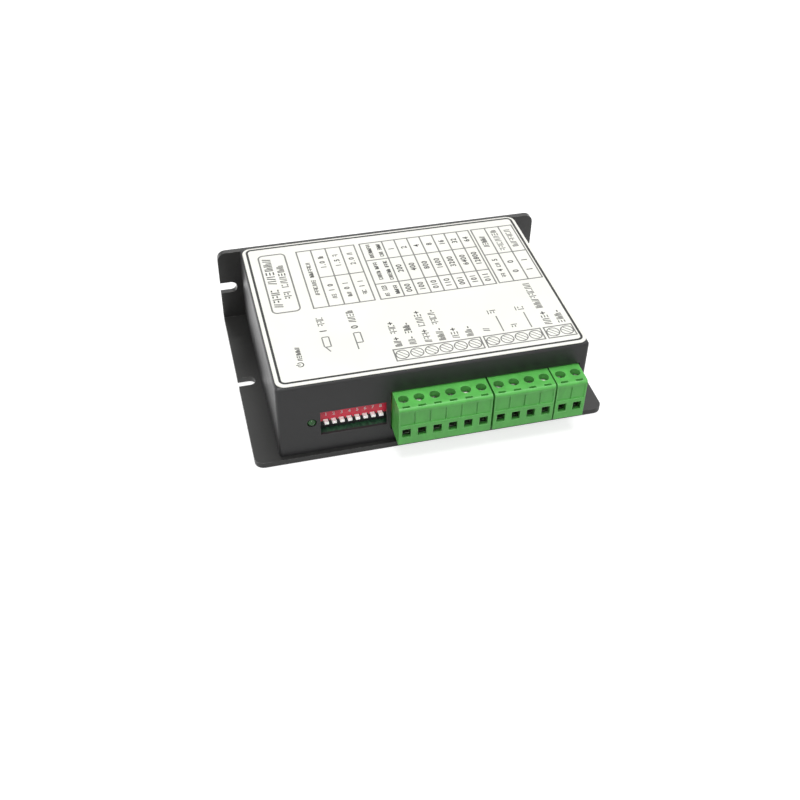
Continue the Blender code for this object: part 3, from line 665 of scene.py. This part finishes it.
def ruled_table(shape, rows, columns, pen, open_cells=()):
    """A ruled table as one closed mesh. rows are line positions in X, columns in Y.

    open_cells names (row, column line) pairs where the column line is left out.
    """
    half = pen / 2
    xs = [edge for x in rows for edge in (x - half, x + half)]
    ys = [edge for y in columns for edge in (y - half, y + half)]

    def filled(i, j):
        if not (0 <= i < len(xs) - 1 and 0 <= j < len(ys) - 1):
            return False
        if i % 2 == 0:  # on a row line
            return True
        return j % 2 == 0 and (i // 2, j // 2) not in open_cells

    made = {}

    def vert(i, j, top):
        key = (i, j, top)
        if key not in made:
            made[key] = shape.verts.new((xs[i], ys[j], INK_HIGH if top else INK_LOW))
        return made[key]

    for i in range(len(xs) - 1):
        for j in range(len(ys) - 1):
            if not filled(i, j):
                continue
            corners = [(i, j), (i + 1, j), (i + 1, j + 1), (i, j + 1)]
            shape.faces.new([vert(*corner, 1) for corner in corners])
            shape.faces.new([vert(*corners[k], 0) for k in (0, 3, 2, 1)])
            # a side wall wherever the neighbouring cell is bare
            for i_step, j_step, start, end in (
                (-1, 0, corners[3], corners[0]),
                (1, 0, corners[1], corners[2]),
                (0, -1, corners[0], corners[1]),
                (0, 1, corners[2], corners[3]),
            ):
                if not filled(i + i_step, j + j_step):
                    shape.faces.new(
                        [vert(*start, 0), vert(*end, 0), vert(*end, 1), vert(*start, 1)]
                    )


@cache
def glyph(character):
    """A character of the built-in font as (points, faces), upright, one unit thick."""
    curve = bpy.data.curves.new("glyph", "FONT")
    curve.body = character
    curve.size = 1.0
    curve.resolution_u = 3
    curve.extrude = 0.5
    curve.offset = 0.022
    holder = bpy.data.objects.new("glyph", curve)
    scene.collection.objects.link(holder)
    graph = bpy.context.evaluated_depsgraph_get()
    mesh = bpy.data.meshes.new_from_object(holder.evaluated_get(graph))
    bpy.data.objects.remove(holder, do_unlink=True)
    shape = bmesh.new()
    shape.from_mesh(mesh)
    bmesh.ops.remove_doubles(shape, verts=shape.verts, dist=0.0005)
    bmesh.ops.dissolve_degenerate(shape, edges=shape.edges, dist=0.0001)
    shape.verts.index_update()
    points = [tuple(vert.co) for vert in shape.verts]
    faces = [[vert.index for vert in face.verts] for face in shape.faces]
    shape.free()
    bpy.data.meshes.remove(mesh)
    return points, faces


def glyph_span(character, axis):
    values = [point[axis] for point in glyph(character)[0]]
    return min(values), max(values)


DIGIT_LOW, DIGIT_HIGH = glyph_span("0", axis=1)


def put_glyph(shape, character, height, place):
    """Adds a character. place takes (across, up, thickness -0.5..0.5) and gives a point."""
    points, faces = glyph(character)
    left, right = glyph_span(character, axis=0)
    scale = height / (DIGIT_HIGH - DIGIT_LOW)
    verts = [
        shape.verts.new(place((x - (left + right) / 2) * scale, (y - DIGIT_LOW) * scale, z))
        for x, y, z in points
    ]
    for face in faces:
        shape.faces.new([verts[i] for i in face])


# Blank words are made of these loose strokes. Each is (across, up, across, up) in a
# cell that is one wide and one high; no stroke joins another, so they spell nothing.
STROKES = (
    ((-0.32, 0.00, -0.32, 1.00), (0.00, 0.00, 0.00, 1.00), (0.32, 0.00, 0.32, 0.70)),
    ((-0.34, 0.92, 0.30, 0.92), (-0.34, 0.50, 0.30, 0.50), (-0.34, 0.08, 0.30, 0.08)),
    ((-0.34, 0.00, -0.08, 1.00), (0.26, 0.00, 0.26, 1.00)),
    ((-0.32, 0.00, -0.32, 1.00), (-0.04, 0.88, 0.34, 0.88), (-0.04, 0.12, 0.34, 0.12)),
    ((0.30, 0.00, 0.30, 1.00), (-0.34, 0.88, 0.04, 0.88), (-0.34, 0.40, 0.04, 0.40)),
    ((-0.34, 0.00, -0.12, 1.00), (0.06, 0.00, 0.30, 1.00)),
)
blank_numbers = count(1)

border = bmesh.new()  # heavy border
rules = bmesh.new()  # fine lines
digits = bmesh.new()  # digits and signs
words = bmesh.new()  # strokes that stand in for words


def blank_character(x, middle, width, height, pen):
    """One character of a blank word, upper side toward -X."""
    number = next(blank_numbers)
    strokes = STROKES[(number * 5 + number // 3) % len(STROKES)]
    for k, (across_start, up_start, across_end, up_end) in enumerate(strokes):
        stroke(
            words,
            x - up_start * height,
            middle + across_start * width,
            x - up_end * height,
            middle + across_end * width,
            pen,
            lift=0.0008 * k,
        )


def print_line(x, y_start, y_end, height, marks, pen=0.35):
    """One line of print. It runs toward +Y, with its upper side toward -X.

    C and c in the marks are tall and short blank characters, which stand in for
    words; digits and signs are drawn as they are.
    """
    advance = (y_end - y_start) / len(marks)
    for i, mark in enumerate(marks):
        middle = y_start + advance * (i + 0.5)
        if mark in "Cc":
            tall = height if mark == "C" else height * 0.78
            blank_character(x, middle, advance, tall, pen)
        elif mark != " ":
            put_glyph(
                digits,
                mark,
                height,
                lambda across, up, depth: (
                    x - up,
                    middle + across,
                    (INK_LOW + INK_HIGH) / 2 + depth * (INK_HIGH - INK_LOW),
                ),
            )


# ---------------------------------------------------------------------------
# print on the top label
# ---------------------------------------------------------------------------
TABLE_PEN = 0.48
PICTURE_PEN = 0.42
BASELINE = 1.6  # from the line under a table row back to the foot of its print


def print_title():
    """The frame round the label, and the title box."""
    round_frame(border, (-48.75, 49.25), (-36.65, 36.75), radius=1.7, pen=0.80)
    round_frame(rules, (-45.35, -36.1), (-1.5, 32.3), radius=1.7, pen=0.55)
    print_line(-41.35, 1.2, 30.4, 2.9, "CCCC CCCCCC", pen=0.50)
    print_line(-37.7, 5.4, 25.4, 2.4, "CC CCCCCC", pen=0.44)


def print_first_table():
    """A heading and three rows of two."""
    rows = [-31.8 + 5.2 * k for k in range(5)]
    ruled_table(rules, rows, (-1.5, 15.2, 32.2), TABLE_PEN, open_cells={(0, 1)})
    print_line(-28.3, 5.4, 24.8, 1.9, "ccccccc ccccccc")
    entries = (("cc 1 0", "1.0 C"), ("cc 0 1", "1.5 C"), ("cc 1 1", "2.0 C"))
    for row, (marks, value) in zip(rows[2:], entries):
        print_line(row - BASELINE, 2.3, 10.8, 1.95, marks)
        print_line(row - BASELINE, 20.3, 27.8, 1.95, value)


def print_second_table():
    """A two-line heading and seven rows of three."""
    rows = (-9.0, -0.8, 3.8, 8.5, 13.1, 17.8, 22.5, 27.1, 31.6)
    ruled_table(rules, rows, (-1.6, 7.1, 21.4, 32.2), TABLE_PEN)
    for x, y_start, y_end, marks in (
        (-5.5, -0.4, 5.8, "cc 123"),
        (-1.9, 0.2, 5.2, "ccccc"),
        (-5.5, 9.4, 19.8, "ccccc cccc"),
        (-1.9, 8.6, 20.2, "cccccc cccc"),
        (-5.5, 22.6, 31.2, "cccccccc"),
        (-1.9, 22.9, 30.8, "ccc cccc"),
    ):
        print_line(x, y_start, y_end, 1.8, marks)
    for k, (above, below) in enumerate(zip(rows[1:], rows[2:])):
        x = (above + below) / 2 + 1.05
        bits = "".join(str(k >> place & 1) for place in range(3))
        print_line(x, 0.3, 5.2, 2.1, bits)
        for centre, number in ((14.5, 200 << k), (26.8, 1 << k)):
            half = 1.62 * len(str(number)) / 2
            print_line(x, centre - half, centre + half, 2.1, str(number))


def print_third_table():
    """A heading and two rows of two."""
    rows = (32.7, 37.9, 43.1, 48.2)
    ruled_table(rules, rows, (-1.5, 15.6, 32.2), TABLE_PEN)
    print_line(rows[1] - BASELINE, 1.2, 12.6, 2.0, "cc 4 cc 5")
    print_line(rows[1] - BASELINE, 20.2, 27.4, 2.0, "CCCCC")
    for row, bit, y_start, y_end, marks in (
        (rows[2], "0", 16.9, 30.4, "CCCCCCC"),
        (rows[3], "1", 18.3, 29.8, "CCCCCC"),
    ):
        print_line(row - BASELINE, 3.1, 4.9, 2.2, bit)
        print_line(row - BASELINE, 8.9, 10.7, 2.2, bit)
        print_line(row - BASELINE, y_start, y_end, 2.2, marks)


def print_lamp_legend():
    """The usual power sign, then a blank word."""
    y, pen = -29.0, 0.32
    angles = [math.radians(-145 + 290 * i / 18) for i in range(19)]
    arc_stroke(digits, -41.25, y, 1.0, pen, angles, closed=False)
    stroke(digits, -42.6, y, -41.2, y, pen)
    print_line(-40.2, -27.2, -20.2, 1.9, "ccccc")


# The two lever positions of the setting switch: the X of each picture, then its
# strokes as (x start from there, y start, x end from there, y end, lift).
SWITCH_PICTURES = (
    (
        -31.2,
        (
            (-1.1, -17.2, -1.1, -22.0, 0.0),
            (1.1, -17.2, 1.1, -22.3, 0.0),
            (-0.92, -17.2, 0.92, -17.2, 0.003),
            (-0.95, -22.0, 0.45, -24.7, 0.003),
            (-0.92, -22.3, 0.92, -22.3, 0.006),
        ),
    ),
    (
        -20.85,
        (
            (-1.1, -17.2, -1.1, -25.6, 0.0),
            (1.1, -17.2, 1.1, -22.3, 0.0),
            (-0.92, -17.2, 0.92, -17.2, 0.003),
            (-0.92, -22.3, 0.92, -22.3, 0.003),
        ),
    ),
)


def print_switch_legend():
    """The switch pictures, with 1 and 0."""
    for x, strokes in SWITCH_PICTURES:
        for x_start, y_start, x_end, y_end, lift in strokes:
            stroke(rules, x + x_start, y_start, x + x_end, y_end, PICTURE_PEN, lift)
    print_line(-30.0, -14.9, -6.6, 2.4, "1 CCC")
    print_line(-19.7, -15.0, -5.2, 2.4, "0 CCCC")


def print_terminal_legends():
    start = -27.3
    for x, end, marks in (
        (-8.1, -14.2, "CC+ CCC+"),
        (-3.4, -15.6, "CC- CCC-"),
        (1.7, -10.4, "CCC+ CCCC+"),
        (6.3, -10.6, "CCC- CCCC-"),
        (10.9, -21.6, "CC+"),
        (15.6, -21.7, "CC-"),
    ):
        print_line(x, start, end, 2.3, marks)
    for x in (21.4, 31.0):
        print_line(x, -26.2, -24.1, 2.1, "C")
        stroke(rules, x + 4.2, -27.2, x + 4.2, -19.0, PICTURE_PEN)
        print_line(x + 5.0, -17.7, -15.4, 2.1, "C")
        stroke(digits, x + 2.2, -17.6, x + 2.2, -15.5, 0.28)
    print_line(42.4, start, -3.6, 2.4, "CCC+ CCCCCCCC")
    print_line(47.0, start, -20.0, 2.4, "CCC-")


def print_terminal_row():
    """Picture of the terminal row: a slotted screw head for each pole."""
    y_low, y_high = -34.0, -28.4
    y = (y_low + y_high) / 2
    slot_half = 1.34  # half of the slot's reach along X and along Y
    for start, end, poles in ((-11.6, 17.1, 6), (18.3, 37.5, 4), (38.7, 48.2, 2)):
        ruled_table(rules, (start, end), (y_low, y_high), pen=0.46)
        pitch = (end - start) / poles
        for k in range(poles):
            x = start + pitch * (k + 0.5)
            arc_stroke(rules, x, y, 2.08, 0.36, full_turn(28), closed=True)
            for shift in (-0.42, 0.42):
                stroke(
                    rules,
                    x + shift - slot_half,
                    y + shift + slot_half,
                    x + shift + slot_half,
                    y + shift - slot_half,
                    pen=0.26,
                )


print_title()
print_first_table()
print_second_table()
print_third_table()
print_lamp_legend()
print_switch_legend()
print_terminal_legends()
print_terminal_row()
for name, shape, finish in (
    ("label_border", border, INK),
    ("label_rules", rules, INK_RULE),
    ("label_digits", digits, INK),
    ("label_blank_words", words, INK_THIN),
):
    new_piece(name, shape, finish, "root", smooth=False)


# ---------------------------------------------------------------------------
# setting switch: numbers above the levers, and the levers
# ---------------------------------------------------------------------------
NUMBER_HEIGHT = 1.30
NUMBER_FOOT_Z = 13.72

# Lever outline as (y, z) from its pivot: the barrel, a thin arm out toward -Y and
# its rounded nose, then back.
LEVER = arc_points(0.0, 0.0, 1.12, [math.radians(turn) for turn in range(-150, 151, 20)]) + [
    (-1.25, 0.42), (-2.10, 0.20), (-2.80, 0.18), (-3.02, 0.30), (-3.16, 0.50), (-3.36, 0.58),
    (-3.56, 0.52), (-3.71, 0.36), (-3.78, 0.12), (-3.78, -0.14), (-3.70, -0.36), (-3.52, -0.50),
    (-3.20, -0.54), (-2.40, -0.50), (-1.25, -0.54),
]
LEVER_HALF_WIDTH = 0.68
LEVER_TILT = math.radians(8.0)
PIVOT_Y, PIVOT_Z = -33.0, 11.0


def switch_numbers():
    face_y = box_mm("dip_cover")[0].y
    shape = bmesh.new()
    for k in range(1, 9):
        centre = middle_x(f"dip_lever_{k}")
        put_glyph(
            shape,
            str(k),
            NUMBER_HEIGHT,
            lambda across, up, depth: (
                centre + across,
                face_y - 0.012 - depth * 0.06,
                NUMBER_FOOT_Z + up,
            ),
        )
    new_piece("switch_numbers", shape, INK_WHITE, "root", smooth=False)


def switch_lever(k):
    node = f"dip_lever_{k}"
    centre = middle_x(node)
    cosine, sine = math.cos(LEVER_TILT), math.sin(LEVER_TILT)
    shape = bmesh.new()
    left, right = [
        [
            shape.verts.new((x, PIVOT_Y + (y * cosine + z * sine), PIVOT_Z + (-y * sine + z * cosine)))
            for y, z in LEVER
        ]
        for x in (centre - LEVER_HALF_WIDTH, centre + LEVER_HALF_WIDTH)
    ]
    shape.faces.new(left)
    shape.faces.new(right[::-1])
    skin(shape, left, right)
    piece = new_piece(f"switch_lever_{k}", shape, WHITE, node)
    soften(piece, width=0.10, angle=50.0)
    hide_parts(node)


switch_numbers()
for k in range(1, 9):
    switch_lever(k)


# ---------------------------------------------------------------------------
# clamp screws: chamfered slotted head and a threaded shank
# ---------------------------------------------------------------------------
HEAD_HEIGHT = 1.7
SLOT_WIDTH, SLOT_DEPTH = 0.62, 0.78
THREAD_ROOT, THREAD_CREST, THREAD_PITCH = 1.00, 1.23, 0.5  # two radii, then the pitch
RUN_OUT = 0.45  # plain length at each end of the thread


def screw_profile():
    """(radius, height) pairs from the top of the head down to the end of the shank."""
    low, high = box_mm("clamp_screw_1")
    top, end = high.z, low.z
    radius = (high.x - low.x) / 2
    under = top - HEAD_HEIGHT
    profile = [(0.0, top), (radius - 0.30, top), (radius - 0.10, top - 0.08)]
    profile += [(radius, top - 0.28), (radius, under + 0.06), (radius - 0.06, under)]
    profile += [(1.12, under), (1.05, under - 0.10)]
    z = under - RUN_OUT
    while z > end + RUN_OUT:
        profile += [(THREAD_ROOT, z), (THREAD_CREST, z - 0.19)]
        profile += [(THREAD_CREST, z - 0.25), (THREAD_ROOT, z - 0.44)]
        z -= THREAD_PITCH
    return profile + [(0.98, end + 0.12), (0.86, end), (0.0, end)]


def slotted(profile):
    """The turned screw with a straight slot across its head, centred on the axis."""
    top = profile[0][1]
    blank_shape = revolve(profile, sides=40)
    bmesh.ops.recalc_face_normals(blank_shape, faces=blank_shape.faces)
    half = SLOT_WIDTH / 2
    tool_shape = block((-4, 4), (-half, half), (top - SLOT_DEPTH, top + 1))
    pieces = []
    for name, shape in (("screw_blank", blank_shape), ("slot_tool", tool_shape)):
        mesh = bpy.data.meshes.new(name)
        shape.to_mesh(mesh)
        shape.free()
        piece = bpy.data.objects.new(name, mesh)
        scene.collection.objects.link(piece)
        pieces.append(piece)
    blank, tool = pieces
    cut = blank.modifiers.new("slot", "BOOLEAN")
    cut.operation = "DIFFERENCE"
    cut.solver = "EXACT"
    cut.object = tool
    bpy.context.view_layer.update()
    graph = bpy.context.evaluated_depsgraph_get()
    mesh = bpy.data.meshes.new_from_object(blank.evaluated_get(graph))
    for piece in pieces:
        bpy.data.objects.remove(piece, do_unlink=True)
    return mesh


def clamp_screw(k, template):
    node = f"clamp_screw_{k}"
    low, high = box_mm(node)
    shape = bmesh.new()
    shape.from_mesh(template)
    turn = math.radians((k * 67 + 20) % 180)  # each slot stands at its own angle
    centre = Matrix.Translation(((low.x + high.x) / 2, (low.y + high.y) / 2, 0.0))
    bmesh.ops.transform(shape, matrix=centre @ Matrix.Rotation(turn, 4, "Z"), verts=shape.verts)
    piece = new_piece(f"slotted_screw_{k}", shape, NICKEL, node)
    soften(piece, width=0.02, segments=1, angle=55.0)
    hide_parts(node)


screw_template = slotted(screw_profile())
for k in range(1, 13):
    clamp_screw(k, screw_template)
bpy.data.meshes.remove(screw_template)


# ---------------------------------------------------------------------------
# power lamp: a domed lens with a flange, and its two bent legs
# ---------------------------------------------------------------------------
LAMP_X = middle_x("power_led")
LAMP_TIP_Y = box_mm("power_led")[0].y
LAMP_Z = 14.7
DOME_RADIUS, DOME_LENGTH = 1.44, 1.35
LEG_OFFSET = 1.27  # each side of the lamp's axis
LEG_HALF = 0.24
LEG_START_Y = LAMP_TIP_Y + 5.08


def lamp_lens():
    """Turned along Z from its tip down, then laid so that the tip points to -Y."""
    profile = [(0.0, 0.0)]
    for i in range(1, 11):
        turn = math.radians(9 * i)
        profile.append((DOME_RADIUS * math.sin(turn), -DOME_LENGTH * (1 - math.cos(turn))))
    profile += [(1.45, -3.94), (1.47, -4.00), (1.84, -4.06), (1.9, -4.12)]
    profile += [(1.9, -5.00), (1.84, -5.06), (0.0, -5.06)]
    shape = revolve(profile, sides=40)
    place = Matrix.Translation((LAMP_X, LAMP_TIP_Y, LAMP_Z))
    lay = Matrix.Rotation(math.radians(90), 4, "X")
    bmesh.ops.transform(shape, matrix=place @ lay, verts=shape.verts)
    piece = new_piece("lamp_lens", shape, LENS, "root")
    soften(piece, width=0.04, angle=40.0)
    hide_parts("power_led")


def lamp_leg(name, x, board_top):
    """A square wire that runs toward +Y and bends down to the board."""
    path = [  # (y, z) along the middle of the wire
        (LEG_START_Y, LAMP_Z),
        (LEG_START_Y + 1.3, LAMP_Z),
        (LEG_START_Y + 1.62, LAMP_Z - 0.13),
        (LEG_START_Y + 1.75, LAMP_Z - 0.45),
        (LEG_START_Y + 1.75, board_top + 0.05),
    ]
    shape = bmesh.new()
    sections = []
    for i, (y, z) in enumerate(path):
        before = path[max(0, i - 1)]
        after = path[min(len(path) - 1, i + 1)]
        along = Vector((after[0] - before[0], after[1] - before[1])).normalized()
        side = Vector((-along.y, along.x)) * LEG_HALF
        corners = (
            (x - LEG_HALF, y + side.x, z + side.y),
            (x + LEG_HALF, y + side.x, z + side.y),
            (x + LEG_HALF, y - side.x, z - side.y),
            (x - LEG_HALF, y - side.x, z - side.y),
        )
        sections.append([shape.verts.new(corner) for corner in corners])
    for first, second in zip(sections, sections[1:]):
        wall(shape, first, second)
    shape.faces.new(sections[0][::-1])
    shape.faces.new(sections[-1])
    soften(new_piece(name, shape, STEEL, "root"), width=0.05, angle=40.0)


lamp_lens()
board_top = box_mm("circuit_board")[1].z
lamp_leg("lamp_leg_left", LAMP_X - LEG_OFFSET, board_top)
lamp_leg("lamp_leg_right", LAMP_X + LEG_OFFSET, board_top)


# ---------------------------------------------------------------------------
# floor, light and camera, in metres
# ---------------------------------------------------------------------------
def pale_floor():
    """Matt white paper. The camera sees it a little lit from below, like a light table."""
    mat = Finish("floor_paper")
    cloud = mat.noise(size=180.0)
    mat.set(
        Base_Color=mat.blend(cloud, rgb(180, 180, 180), rgb(184, 184, 184)),
        Roughness=0.9,
        IOR=1.2,
        Emission_Color=(1.0, 1.0, 1.0, 1.0),
    )
    rays = mat.add("ShaderNodeLightPath")
    # reflections of the floor grow brighter toward +Y
    behind = mat.remap(mat.component(1), over=(-47.0, 60.0), to=(0.38, 1.95))
    seen = mat.times(rays.outputs["Is Camera Ray"], 0.71)
    mirrored = mat.times(rays.outputs["Is Glossy Ray"], behind)
    mat.set(Emission_Strength=mat.plus(seen, mirrored))
    return mat.material


def build_floor():
    shape = block((-6.0, 6.0), (-6.0, 6.0), (-0.01, 0.0))
    mesh = bpy.data.meshes.new("floor")
    shape.to_mesh(mesh)
    shape.free()
    mesh.materials.append(pale_floor())
    floor = bpy.data.objects.new("floor", mesh)
    floor.location = (0.0, 0.0, -0.0003)
    scene.collection.objects.link(floor)


def build_world():
    """White surroundings, brighter with height; steady for reflections and the camera."""
    world = bpy.data.worlds.new("studio")
    scene.world = world
    world.use_nodes = True
    nodes, link = world.node_tree.nodes, world.node_tree.links.new
    nodes.clear()
    output = nodes.new("ShaderNodeOutputWorld")
    background = nodes.new("ShaderNodeBackground")
    direction = nodes.new("ShaderNodeTexCoord")
    split = nodes.new("ShaderNodeSeparateXYZ")
    level = nodes.new("ShaderNodeMapRange")
    fill(level, From_Min=0.0, From_Max=1.0, To_Min=0.25, To_Max=0.45)
    link(direction.outputs["Generated"], split.inputs[0])
    link(split.outputs[2], level.inputs["Value"])
    rays = nodes.new("ShaderNodeLightPath")
    strength = level.outputs[0]
    for ray, brightness in (("Is Glossy Ray", 0.86), ("Is Camera Ray", 0.92)):
        choice = nodes.new("ShaderNodeMix")
        choice.inputs[3].default_value = brightness
        link(rays.outputs[ray], choice.inputs[0])
        link(strength, choice.inputs[2])
        strength = choice.outputs[0]
    link(strength, background.inputs["Strength"])
    link(background.outputs[0], output.inputs["Surface"])
    fill(background, Color=(1.0, 1.0, 1.0, 1.0))


def softbox(name, place, aim, size, watts):
    data = bpy.data.lights.new(name, "AREA")
    data.shape = "RECTANGLE"
    data.size, data.size_y = size
    data.energy = watts
    light = bpy.data.objects.new(name, data)
    light.location = place
    light.rotation_mode = "QUATERNION"
    light.rotation_quaternion = (Vector(aim) - Vector(place)).to_track_quat("-Z", "Y")
    scene.collection.objects.link(light)


def build_camera():
    place = (-0.076674, -0.277462, 0.240892)
    forward = Vector((0.19521, 0.71777, -0.66835)).normalized()
    right = Vector((0.96876, -0.2474, 0.01725))
    right = (right - forward * right.dot(forward)).normalized()
    up = right.cross(forward)
    data = bpy.data.cameras.new("camera")
    data.sensor_fit = "HORIZONTAL"
    data.sensor_width = 36.0
    data.lens = 47.368
    data.clip_start = 0.01
    data.clip_end = 50.0
    camera = bpy.data.objects.new("camera", data)
    turn = Matrix((right, up, -forward)).transposed().to_4x4()
    camera.matrix_world = Matrix.Translation(place) @ turn
    scene.collection.objects.link(camera)
    scene.camera = camera


build_floor()
build_world()
softbox("key", place=(0.02, -0.10, 0.95), aim=(0, 0, 0), size=(0.62, 0.50), watts=6.4)
softbox("front", place=(-0.08, -0.66, 0.66), aim=(-0.02, -0.03, 0.01), size=(0.45, 0.35), watts=1.5)
softbox("back", place=(0.15, 0.80, 0.55), aim=(0, 0, 0.01), size=(0.9, 0.35), watts=1.4)
softbox("left", place=(-0.70, -0.20, 0.22), aim=(0, 0, 0.01), size=(0.5, 0.3), watts=0.9)
build_camera()
scene.view_settings.view_transform = "Standard"
scene.view_settings.look = "None"
